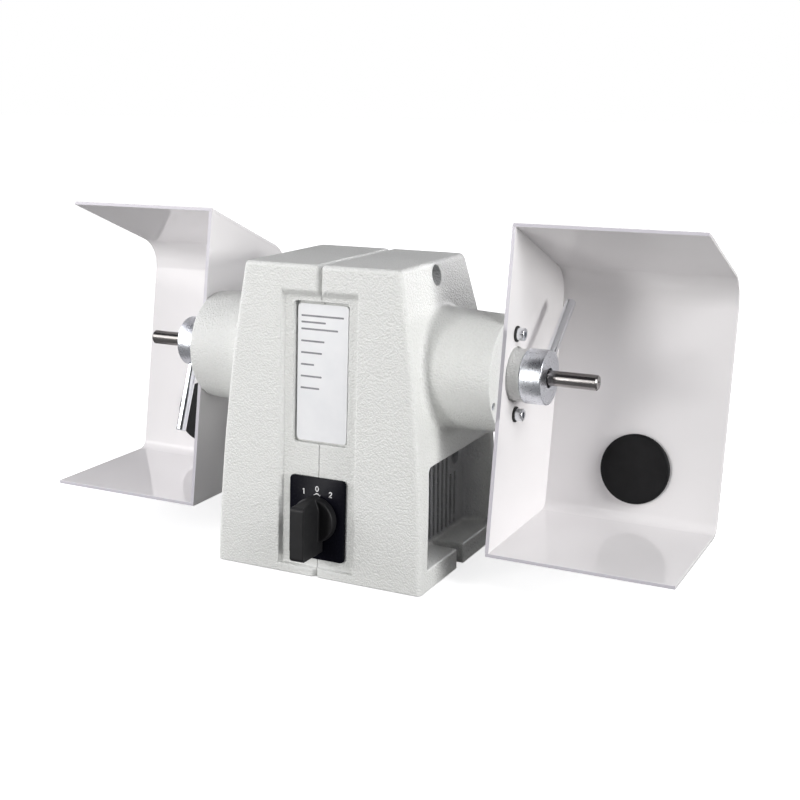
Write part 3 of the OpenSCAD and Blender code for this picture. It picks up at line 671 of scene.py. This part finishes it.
def chosen_for_camera(nodes, links, lit_by, seen, output):
    """Gives an output the shader seen for what the camera sees directly, and lit_by for all other light."""
    path = nodes.new("ShaderNodeLightPath")
    either = nodes.new("ShaderNodeMixShader")
    links.new(path.outputs["Is Camera Ray"], either.inputs[0])
    links.new(lit_by.outputs[0], either.inputs[1])
    links.new(seen.outputs[0], either.inputs[2])
    links.new(either.outputs[0], output.inputs["Surface"])


# ---------------------------------------------------------------- materials
def grained(name, colour, other, rough, scale, relief, metallic=0.0, specular=0.5):
    """A finish whose colour, roughness and relief vary with one fine noise and one broad one."""
    mat, nodes, links, shader = tree(name)
    at = place_in(nodes)
    fine = texture(nodes, links, at, "ShaderNodeTexNoise", Scale=scale, Detail=3.0, Roughness=0.55)
    broad = texture(nodes, links, at, "ShaderNodeTexNoise", Scale=scale * 0.04, Detail=2.0)
    tone = blend_colour(nodes, links, ranged(nodes, links, broad.outputs["Fac"], 0, 1), colour, other)
    links.new(tone, shader.inputs["Base Color"])
    links.new(ranged(nodes, links, fine.outputs["Fac"], *rough), shader.inputs["Roughness"])
    bumped(nodes, links, shader, fine.outputs["Fac"], relief)
    shader.inputs["Metallic"].default_value = metallic
    shader.inputs["Specular IOR Level"].default_value = specular
    return mat


def turned_metal(name, colour, other, rough, pitch, depth):
    """Metal turned about x: fine rings along it over a faint noise."""
    mat, nodes, links, shader = tree(name)
    at = place_in(nodes)
    rings = texture(nodes, links, at, "ShaderNodeTexWave", Scale=1 / pitch, Distortion=1.5, Detail=2.0,
                    wave_type="BANDS", bands_direction="X")
    grain = texture(nodes, links, at, "ShaderNodeTexNoise", Scale=900.0, Detail=3.0)
    tone = blend_colour(nodes, links, ranged(nodes, links, grain.outputs["Fac"], 0, 1), colour, other)
    links.new(tone, shader.inputs["Base Color"])
    links.new(ranged(nodes, links, grain.outputs["Fac"], *rough), shader.inputs["Roughness"])
    first = bumped(nodes, links, shader, rings.outputs["Fac"], depth)
    bumped(nodes, links, shader, grain.outputs["Fac"], 0.00001, under=first)
    shader.inputs["Metallic"].default_value = 1.0
    return mat


def painted_hollow_shade(nodes, links, at):
    """Painted shade: 1 deep in a side pocket or in the upper tie hole, where shade falls on the paint, else
    0.
    """
    split = nodes.new("ShaderNodeSeparateXYZ")
    links.new(at, split.inputs[0])
    from_split = calculated(nodes, links, "ABSOLUTE", split.outputs["X"])
    depth = ranged(nodes, links, from_split, 1, 0, (POCKET_X + 3) * MM, (POCKET_X + 21) * MM)
    for axis, low, high, fade in (("Y", -62, 74, 3), ("Z", FOOT_T + 0.5, POCKET_TOP + 1, 4)):
        for limit, full in ((low, low + fade), (high, high - fade)):
            within = ranged(nodes, links, split.outputs[axis], 0, 1, limit * MM, full * MM)
            depth = calculated(nodes, links, "MULTIPLY", depth, within)
    y0, z0, head_r = TIE_POINTS[0]
    on_axis = node(nodes, "ShaderNodeCombineXYZ", Y=y0 * MM, Z=z0 * MM)
    links.new(split.outputs["X"], on_axis.inputs["X"])
    from_axis = node(nodes, "ShaderNodeVectorMath", operation="DISTANCE")
    links.new(at, from_axis.inputs[0])
    links.new(on_axis.outputs[0], from_axis.inputs[1])
    hole = ranged(nodes, links, from_axis.outputs["Value"], 1, 0, (head_r - 0.4) * MM, (head_r + 0.4) * MM)
    return calculated(nodes, links, "MAXIMUM", depth, hole)


def wrinkle_paint():
    """Pale grey structured lacquer: short wrinkles a little over 1 mm apart, glossy on their crests, with
    painted shade deep in the side pockets and the upper tie hole.
    """
    trough, crest = (0.735, 0.744, 0.722), (0.792, 0.801, 0.780)
    cloud, shade = (0.755, 0.760, 0.755), (0.46, 0.465, 0.475)
    mat, nodes, links, shader = tree("wrinkle_paint")
    at = place_in(nodes)
    warp = texture(nodes, links, at, "ShaderNodeTexNoise", Scale=420.0, Detail=1.0)
    shift = node(nodes, "ShaderNodeVectorMath", operation="MULTIPLY_ADD")
    links.new(warp.outputs["Color"], shift.inputs[0])
    shift.inputs[1].default_value = (0.0012, 0.0012, 0.0012)
    links.new(at, shift.inputs[2])
    cells = texture(nodes, links, shift.outputs[0], "ShaderNodeTexVoronoi", Scale=720.0,
                    feature="SMOOTH_F1", Smoothness=0.8)
    fine = texture(nodes, links, at, "ShaderNodeTexNoise", Scale=1500.0, Detail=2.0)
    broad = texture(nodes, links, at, "ShaderNodeTexNoise", Scale=14.0, Detail=3.0)
    height = ranged(nodes, links, cells.outputs["Distance"], 1, 0, 0.1, 0.75)
    tone = blend_colour(nodes, links, height, trough, crest)
    tone = blend_colour(nodes, links, ranged(nodes, links, broad.outputs["Fac"], 0, 0.35), tone, cloud)
    # painted shade: the paint turns to the shade colour deep in the side pockets and the upper tie hole
    tone = blend_colour(nodes, links, painted_hollow_shade(nodes, links, at), tone, shade)
    links.new(tone, shader.inputs["Base Color"])
    links.new(ranged(nodes, links, height, 0.50, 0.27, 0, 1), shader.inputs["Roughness"])
    first = bumped(nodes, links, shader, height, 0.00036)
    bumped(nodes, links, shader, fine.outputs["Fac"], 0.00006, under=first)
    return mat


def guard_lacquer():
    """Smooth white lacquer, with painted shade: a darker lilac on the cut edges that look straight to the
    front.
    """
    mat = grained("guard_lacquer", (0.80, 0.785, 0.79), (0.83, 0.815, 0.82), (0.045, 0.075), 260.0, 0.000008,
                  specular=0.40)
    nodes, links = mat.node_tree.nodes, mat.node_tree.links
    base = nodes["Principled BSDF"].inputs["Base Color"]
    facing, place = [nodes.new("ShaderNodeSeparateXYZ") for _ in range(2)]
    links.new(nodes.new("ShaderNodeNewGeometry").outputs["True Normal"], facing.inputs[0])
    links.new(place_in(nodes), place.inputs[0])
    # painted shade: faces that point to the front, ahead of the back sheet, take a darker lilac tone
    forward = ranged(nodes, links, facing.outputs["Y"], 0, 1, -0.82, -0.9)
    ahead = ranged(nodes, links, place.outputs["Y"], 1, 0, 0.02, 0.03)
    edge = calculated(nodes, links, "MULTIPLY", forward, ahead)
    sheet = base.links[0].from_socket
    links.new(blend_colour(nodes, links, edge, sheet, (0.63, 0.61, 0.66)), base)
    return mat


# name, two colours, roughness from and to, grains a metre or the rings' pitch in metres, relief in metres
PAINT = wrinkle_paint()
GUARD = guard_lacquer()
ZINC = grained("zinc_plate", (0.76, 0.78, 0.81), (0.84, 0.85, 0.88), (0.18, 0.28), 1400.0, 0.00003, 1.0)
STEEL = turned_metal("ground_steel", (0.27, 0.255, 0.25), (0.37, 0.355, 0.35), (0.14, 0.22), 0.0009,
                     0.000004)
COLLAR = turned_metal("turned_zinc", (0.70, 0.72, 0.77), (0.80, 0.82, 0.86), (0.25, 0.33), 0.0012, 0.00002)
KNOB = grained("knob_plastic", (0.008, 0.008, 0.009), (0.013, 0.013, 0.014), (0.42, 0.55), 2200.0, 0.00004,
               specular=0.25)
PLUG = grained("plug_plastic", (0.004, 0.004, 0.0045), (0.009, 0.009, 0.010), (0.45, 0.62), 1100.0, 0.00016,
               specular=0.14)
GLOSS = grained("plate_gloss", (0.003, 0.003, 0.006), (0.005, 0.005, 0.009), (0.22, 0.30), 500.0, 0.000006,
                specular=0.05)
LABEL = grained("plate_paper", (0.83, 0.84, 0.86), (0.88, 0.885, 0.90), (0.34, 0.44), 1800.0, 0.00001)
INK = grained("plate_ink", (0.20, 0.20, 0.22), (0.30, 0.30, 0.32), (0.5, 0.6), 2600.0, 0.00001)
PRINT = grained("white_print", (0.80, 0.80, 0.80), (0.88, 0.88, 0.88), (0.35, 0.45), 2600.0, 0.00001)
RUBBER = grained("seal_rubber", (0.012, 0.012, 0.012), (0.022, 0.022, 0.022), (0.6, 0.75), 1200.0, 0.00005)
COPPER = grained("wound_copper", (0.62, 0.27, 0.12), (0.75, 0.38, 0.18), (0.24, 0.36), 1600.0, 0.00008, 1.0)
STACK = turned_metal("lamination_stack", (0.26, 0.26, 0.27), (0.36, 0.36, 0.37), (0.38, 0.5), 0.001, 0.0001)
CASTING = grained("die_aluminium", (0.62, 0.63, 0.64), (0.72, 0.73, 0.74), (0.36, 0.52), 700.0, 0.00008, 1.0)
BY_SLOT = {"housing_paint": PAINT, "guard_sheet": GUARD, "bare_steel": STEEL, "bright_zinc": ZINC,
           "black_plastic": PLUG, "plate_black": GLOSS, "plate_white": LABEL, "black_rubber": RUBBER,
           "copper": COPPER, "lamination": STACK, "die_aluminium": CASTING}
for cad in frame["nodes"].values():
    for held in cad.material_slots:
        held.material = BY_SLOT[held.material.name.split(".")[0]]


# ---------------------------------------------------------------- pieces
def piece(obj, body, slot, material, *stands_for):
    """Gives a piece its finish and its place in the frame."""
    obj.data.materials.clear()
    obj.data.materials.append(material)
    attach(obj, body)
    if stands_for:
        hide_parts(*stands_for)
    return obj


# ---------------------------------------------------------------- housing and covers
right_shell = sculpt("right_shell", housing, (0, -80, -1), (NECK_END + 1, REAR + 2, BODY_H + 2), FINE, KEPT)
left_shell = mirrored(right_shell, "left_shell")
piece(right_shell, "housing", "housing_paint", PAINT, "right_housing")
piece(left_shell, "housing", "housing_paint", PAINT, "left_housing")
right_cap = sculpt("right_cap", cover, (122, -48, SHAFT_H - 48), (158, 48, SHAFT_H + 48), 0.6, 0.2)
left_cap = mirrored(right_cap, "left_cap")
piece(right_cap, "housing", "housing_paint", PAINT, "right_end_cover")
piece(left_cap, "housing", "housing_paint", PAINT, "left_end_cover")


# ---------------------------------------------------------------- front panel
outline = rectangle(PLATE_W, PLATE_H, 3, 0, PLATE_MID)
label = slab("label", outline, PLATE_FACE - 1.2, PLATE_FACE, ON_FRONT, 0.2)
piece(label, "housing", "plate_white", LABEL, "data_plate")
# Plain bars where a data plate has its lines: distance down from its top edge, and length
BARS = [(9.5, 38), (14.6, 22), (20.0, 33), (29.5, 21), (38.8, 19), (48.2, 12), (57.6, 19), (67.0, 17)]
BAR_H, MARGIN = 1.43, 3
for k, (down, length) in enumerate(BARS):
    mid_x, mid_y = MARGIN + (length - PLATE_W) / 2, PLATE_MID + PLATE_H / 2 - down
    outline = rectangle(length, BAR_H, 0.5, mid_x, mid_y)
    bar = slab(f"label_line_{k + 1}", outline, PLATE_FACE - 0.01, PLATE_FACE + 0.04, ON_FRONT)
    piece(bar, "housing", "plate_black", INK)
switch = slab("switch_face", rectangle(SWITCH_W, SWITCH_H, 3), SWITCH_LOW, SWITCH_FACE, ON_FRONT, 0.5)
piece(switch, "housing", "plate_black", GLOSS, "switch_plate")

# The three switch positions, as line figures in a box 2.6 wide and 4.4 high
ZERO = [(1.25 * math.cos(2 * math.pi * k / 24), 1.9 * math.sin(2 * math.pi * k / 24)) for k in range(24)]
ONE = rounded([(-0.75, 1.25), (0.25, 2.1), (0.25, -2.2)], 0.1)
TWO = [(1.15 * math.cos(a), 0.95 + 1.15 * math.sin(a)) for a in np.linspace(math.radians(170), -0.5, 10)]
TWO += [(-1.15, -1.95), (1.35, -1.95)]
for word, path, turn in (("one", ONE, 30), ("zero", ZERO, 0), ("two", TWO, -30)):
    a = math.radians(90 + turn)
    at = Matrix.Translation((FIGURE_AT * math.cos(a), FIGURE_AT * math.sin(a), 0))
    figure = stroke("figure_" + word, path, INK_W, *INK_LAYER, ON_FRONT @ at, word == "zero")
    piece(figure, "housing", "plate_white", PRINT)

handle = sculpt("handle", knob, (-20, -30, -1), (20, 22, 33), 0.5, 0.25)
knob_place = ON_FRONT @ Matrix.Translation((0, 0, SWITCH_FACE + 0.3))
handle.data.transform(Matrix.Scale(MM, 4) @ knob_place @ Matrix.Scale(1 / MM, 4))
piece(handle, "knob", "black_plastic", KNOB, "switch_knob")
arc = rounded([(-2.9, 18.9), (0, 20.9), (2.9, 18.9)], 1.5)
mark = stroke("pointer_mark", arc, 0.9, *INK_LAYER, ON_FRONT)
piece(mark, "housing", "plate_white", PRINT)


# ---------------------------------------------------------------- guards and ejectors
def guard_line(inset):
    """The guard's section from its top lip to its lower lip, drawn in by inset."""
    corners = [np.array(p) for p in (TOP_FRONT, TOP_BACK, LOW_BACK, LOW_FRONT)]
    runs = [b - a for a, b in zip(corners, corners[1:])]
    inward = [np.array((r[1], -r[0])) / np.linalg.norm(r) for r in runs]
    line = [corners[0] + inset * inward[0]]
    for k in (1, 2):
        a, b = inward[k - 1], inward[k]
        line.append(corners[k] + inset * (a + b) / (1 + a @ b))
    line.append(corners[3] + inset * inward[2])
    return rounded(line, [0, TOP_BEND - inset, LOW_BEND - inset, 0], 14)


def port_place(side):
    """The port's own frame, its x straight into the guard from the middle of the sheet's inner face."""
    low, high = span("right_extraction_plug")
    into = Vector(joints["right_plug_pull"]["axis"]).normalized()
    back = np.array(TOP_BACK) - np.array(LOW_BACK)
    y = LOW_BACK[0] + back[0] * (PORT_H - LOW_BACK[1]) / back[1]
    at = Vector(((low[0] + high[0]) / 2 * side, y, PORT_H)) + into * SHEET
    return Matrix.Translation(at) @ into.to_track_quat("X", "Z").to_matrix().to_4x4()


def side_frame(side):
    """The shaft's frame, x outwards on that side."""
    return ALONG_SHAFT @ Matrix.Diagonal((side, 1, 1, 1))


def hood(word, side):
    """A guard's shell: one sheet bent twice, open in front and at its outer end, with its port."""
    outer, inner = guard_line(0), guard_line(SHEET)
    bm = bmesh.new()
    (near_out, near_in), (far_out, far_in) = [
        [[bm.verts.new((side * x * MM, p[0] * MM, p[1] * MM)) for p in line] for line in (outer, inner)]
        for x in (COVER_END, GUARD_END)]
    for k in range(len(outer) - 1):
        for a, b in ((near_out, far_out), (near_in, far_in), (near_out, near_in), (far_out, far_in)):
            bm.faces.new((a[k], a[k + 1], b[k + 1], b[k]))
    for k in (0, -1):
        bm.faces.new((near_out[k], near_in[k], far_in[k], far_out[k]))
    shell = drilled(finished(f"{word}_hood", bm), [(port_place(side), PORT_R, -9, 6)])
    piece(eased(shell, 0.5), "housing", "guard_sheet", GUARD, f"{word}_guard_shell")


def cheek(word, side):
    """The flat sheet that closes a guard's inner end, with holes for the boss and its two screws."""
    line = guard_line(SHEET + CHEEK_GAP)
    bm = bmesh.new()
    near, far = [[bm.verts.new((side * x * MM, y * MM, z * MM)) for y, z in line]
                 for x in (COVER_END, COVER_END + SHEET)]
    bm.faces.new(near)
    bm.faces.new(far[::-1])
    for k in range(len(line)):
        j = (k + 1) % len(line)
        bm.faces.new((near[k], near[j], far[j], far[k]))
    reach = (COVER_END - 2, COVER_END + SHEET + 2)
    holes = [(side_frame(side), 22, *reach)]
    for z in (-GUARD_SCREW_AT, GUARD_SCREW_AT):
        holes.append((side_frame(side) @ Matrix.Translation((0, 0, z)), 3.3, *reach))
    sheet = drilled(finished(f"{word}_cheek", bm), holes)
    piece(eased(sheet, 0.5), "housing", "guard_sheet", GUARD, f"{word}_guard_cheek")


def bung(word, side):
    """The extraction plug: a skirt through the port, and a rim with a rounded edge inside the guard."""
    skirt = [(0.2, 0), (0.2, 23.5)] + rounded([(-8, 23.5), (-8, 25.9), (0, 25.9)], 0.8, 3)
    rim = rounded([(0, 26), (0, 29.3), (4.5, 28.9), (4.5, 0)], 2.2, 6)
    plug = lathe(f"{word}_bung", skirt + rim, port_place(side))
    piece(plug, f"{word}_plug", "black_plastic", PLUG, f"{word}_extraction_plug")


def ejector(word, side):
    """A collar on the cover's thread, and its lever."""
    floor, bore_r, shaft_r = 161, 16.0, 7.75
    section = [(COLLAR_START, bore_r), (COLLAR_START, COLLAR_R), (COLLAR_END, COLLAR_R),
               (COLLAR_END, shaft_r), (floor, shaft_r), (floor, bore_r), (COLLAR_START, bore_r)]
    section = rounded(section, [0, 0.7, 0.8, 0.5, 0, 0, 0])
    collar = lathe(f"{word}_collar", section, side_frame(side), 128)
    piece(collar, f"{word}_ejector", "bright_zinc", COLLAR, f"{word}_ejector_collar")
    turned = Matrix.Rotation(math.radians(LEVER_ANGLES[side]), 4, "X")
    outwards = Matrix.Rotation(math.radians(90), 4, "Z")
    spoke = side_frame(side) @ Matrix.Translation((LEVER_X, 0, 0)) @ turned @ outwards
    section = rounded([(LEVER_ROOT, 0), (LEVER_ROOT, LEVER_R), (LEVER_REACH, LEVER_R), (LEVER_REACH, 0)],
                      [0, 0.4, 0.9, 0])
    lever = lathe(f"{word}_lever", section, spoke, 48)
    piece(lever, f"{word}_ejector", "bright_zinc", ZINC, f"{word}_ejector_lever")


def fixings(word, side):
    """The two hexagon-socket screws of a cheek, each on a rubber washer."""
    cheek_x, under, top, thread_r, head_r, socket_r = COVER_END + SHEET, 140.2, 146.2, 2.95, 5, 2.9
    shank = [(125, 0), (125, thread_r), (under, thread_r)]
    head = rounded([(under, thread_r), (under, head_r), (top, head_r), (top, socket_r)], [0, 0.2, 0.7, 0], 3)
    socket = [(top, socket_r, 1), (143, socket_r, 1), (142.6, 0)]
    ring = rounded([(cheek_x, 3.1), (cheek_x, 6.3), (under, 6.3), (under, 3.1), (cheek_x, 3.1)],
                   [0, 0.3, 0.3, 0, 0], 3)
    screws, washers = [f"{word}_guard_screws"], [f"{word}_guard_washers"]      # each node holds two
    for k, z in enumerate((GUARD_SCREW_AT, -GUARD_SCREW_AT)):
        at = side_frame(side) @ Matrix.Translation((0, 0, z))
        screw = lathe(f"{word}_screw_{k + 1}", shank + head + socket, at, 60)
        piece(screw, "housing", "bright_zinc", ZINC, *screws)
        washer = lathe(f"{word}_washer_{k + 1}", ring, at, 60)
        piece(washer, "housing", "black_rubber", RUBBER, *washers)
        screws, washers = [], []


for side, word in ((1, "right"), (-1, "left")):
    for build in (hood, cheek, bung, ejector, fixings):
        build(word, side)


# ---------------------------------------------------------------- the spindle
# Half of the stepped shaft, from its middle to the chamfered end with its centre hole
half = [(9, 0), (9, 100), (8.5, 100), (8.5, 112), (7.5, 112), (7.5, 126), (6, 126), (6, 166.1),
        (5.6, 166.3), (5.6, 166.9), (6, 167.1), (6, SPINDLE_END - 1), (5, SPINDLE_END), (1.8, SPINDLE_END),
        (0.2, SPINDLE_END - 3), (0, SPINDLE_END - 3)]
profile = [(-x, r) for r, x in half[::-1]] + [(x, r) for r, x in half[1:]]
spindle = lathe("spindle", profile, ALONG_SHAFT)
piece(spindle, "rotor", "bare_steel", STEEL, "rotor_shaft")


# ---------------------------------------------------------------- stage, light and camera
NEAR_GLOW, BOUNCE, AMBIENT, BACKDROP = 0.68, 0.25, 0.06, 1.0


def floor_paper():
    """Pale paper that brightens into the backdrop. What it throws back on the object is held low."""
    mat, nodes, links, shader = tree("floor_paper")
    at = place_in(nodes)
    away = node(nodes, "ShaderNodeVectorMath", operation="LENGTH")
    links.new(at, away.inputs[0])
    fibre = texture(nodes, links, at, "ShaderNodeTexNoise", Scale=900.0, Detail=2.0)
    tone = blend_colour(nodes, links, fibre.outputs["Fac"], (0.76, 0.76, 0.77), (0.80, 0.80, 0.81))
    links.new(tone, shader.inputs["Base Color"])
    shader.inputs["Roughness"].default_value = 0.7
    shader.inputs["Emission Color"].default_value = (1, 1, 1, 1)
    glow = ranged(nodes, links, away.outputs["Value"], NEAR_GLOW, 1.0, 0.5, 2.4)
    links.new(glow, shader.inputs["Emission Strength"])
    dim = node(nodes, "ShaderNodeBsdfDiffuse", Color=(BOUNCE, BOUNCE, BOUNCE, 1))
    chosen_for_camera(nodes, links, dim, shader, nodes["Material Output"])
    return mat


def stage_floor():
    """A floor 28 m square, just under the feet."""
    mesh = bpy.data.meshes.new("floor")
    bm = bmesh.new()
    bmesh.ops.create_grid(bm, x_segments=1, y_segments=1, size=14)
    bm.to_mesh(mesh)
    bm.free()
    floor = add("floor", mesh)
    floor.location.z = -0.0004
    floor.data.materials.append(floor_paper())


def studio():
    """A white backdrop for the camera, and a faint even light for the object."""
    world = bpy.data.worlds.new("studio")
    bpy.context.scene.world = world
    world.use_nodes = True
    nodes, links = world.node_tree.nodes, world.node_tree.links
    room = nodes["Background"]
    room.inputs["Color"].default_value = (0.93, 0.92, 1.0, 1)
    room.inputs["Strength"].default_value = AMBIENT
    backdrop = node(nodes, "ShaderNodeBackground", Color=(1, 1, 1, 1), Strength=BACKDROP)
    chosen_for_camera(nodes, links, room, backdrop, nodes["World Output"])


def softbox(name, at, target, size, watts, colour):
    """A rectangular lamp at one place that faces another."""
    data = bpy.data.lights.new(name, "AREA")
    data.shape, data.size, data.size_y = "RECTANGLE", size[0], size[1]
    data.energy, data.color = watts, colour
    lamp = bpy.data.objects.new(name, data)
    bpy.context.scene.collection.objects.link(lamp)
    lamp.location = at
    lamp.rotation_euler = (Vector(target) - Vector(at)).to_track_quat("-Z", "Y").to_euler()


stage_floor()
studio()
# name, place, what it faces, width and height, watts, colour
for lamp in (
        ("low_right", (2.35, -0.24, 0.52), (0.13, 0, 0.2), (0.6, 0.45), 26.3, (1, 0.995, 0.98)),
        ("high_right", (1.9, -0.5, 1.5), (0.1, 0, 0.2), (1.0, 1.0), 26, (0.99, 0.985, 1.0)),
        ("front", (-1.2, -1.75, 0.95), (0, 0, 0.2), (1.7, 1.1), 18, (1, 0.995, 0.985)),
        ("low_front", (-0.86, -1.85, 0.35), (0, 0, 0.2), (0.45, 0.8), 15.5, (1, 0.995, 0.985)),
        ("left", (-2.1, -0.3, 0.9), (0, 0, 0.2), (1.4, 1.3), 34, (0.975, 0.965, 1.0)),
        ("rear", (0.2, 2.3, 0.55), (0, 0, 0.15), (1.6, 0.8), 22, (0.99, 0.985, 1.0))):
    softbox(*lamp)

# The camera that took the photo, as fitted to it: place, turn, tilt, and a lens for a frame of 800 by 800
CAMERA_AT, YAW, PITCH = (0.4895, -0.9047, 0.3809), 0.4673, -0.2411
FOCAL_PX, CENTRE_PX, FRAME_PX, SENSOR = 1272.2, (394.05, 402.49), 800, 36
camera_data = bpy.data.cameras.new("camera")
camera_data.sensor_width = SENSOR
camera_data.lens = SENSOR * FOCAL_PX / FRAME_PX
camera_data.shift_x = (FRAME_PX / 2 - CENTRE_PX[0]) / FRAME_PX
camera_data.shift_y = (CENTRE_PX[1] - FRAME_PX / 2) / FRAME_PX
camera = bpy.data.objects.new("camera", camera_data)
bpy.context.scene.collection.objects.link(camera)
camera.location = CAMERA_AT
camera.rotation_euler = (math.pi / 2 + PITCH, 0, YAW)
bpy.context.scene.camera = camera
bpy.context.scene.view_settings.view_transform = "Standard"
